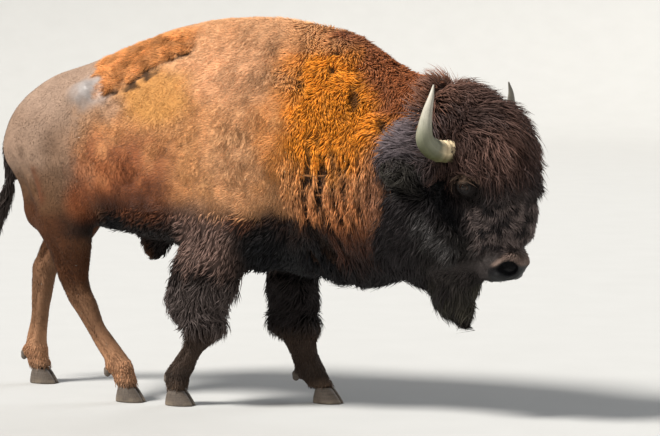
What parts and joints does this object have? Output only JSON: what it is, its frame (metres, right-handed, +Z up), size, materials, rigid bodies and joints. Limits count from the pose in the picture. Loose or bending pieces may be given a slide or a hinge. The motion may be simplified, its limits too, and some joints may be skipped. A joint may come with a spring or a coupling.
{
  "type": "american bison",
  "caption": "Life-size bull bison, walking with its head low: humped shoulders, shaggy cape, mane, beard and breeches, short horns and a tufted tail.",
  "frame": {"origin": "on the ground under the middle of the whole animal, nose to tail tuft", "axes": "+X towards the head, +Y towards the animal's left side, +Z up"},
  "size_m": [3.0383, 0.8557, 1.828],
  "materials": {
    "body_coat": "short woolly coat, rust brown to grey-brown",
    "cape_wool": "matted orange-rust wool",
    "mane_hair": "long black-brown hair",
    "leg_coat": "short dark red-brown hair",
    "tail_hair": "dark grey-brown hair",
    "horn": "fibrous horn, satin",
    "hoof": "worn horn",
    "eye": "wet, glossy"
  },
  "bodies": {
    "root": {"trunk": "body_coat", "neck": "cape_wool", "head": "mane_hair", "beard": "mane_hair", "ear_left": "mane_hair", "ear_right": "mane_hair", "foreleg_left": "mane_hair", "foreleg_right": "mane_hair", "hindleg_left": "leg_coat", "hindleg_right": "leg_coat", "tail": "tail_hair", "horn_left": "horn", "horn_right": "horn", "eye_left": "eye", "eye_right": "eye", "forehoof_left_inner": "hoof", "foredewclaw_left_inner": "hoof", "forehoof_left_outer": "hoof", "foredewclaw_left_outer": "hoof", "forehoof_right_inner": "hoof", "foredewclaw_right_inner": "hoof", "forehoof_right_outer": "hoof", "foredewclaw_right_outer": "hoof", "hindhoof_left_inner": "hoof", "hinddewclaw_left_inner": "hoof", "hindhoof_left_outer": "hoof", "hinddewclaw_left_outer": "hoof", "hindhoof_right_inner": "hoof", "hinddewclaw_right_inner": "hoof", "hindhoof_right_outer": "hoof", "hinddewclaw_right_outer": "hoof"}
  },
  "joints": []
}
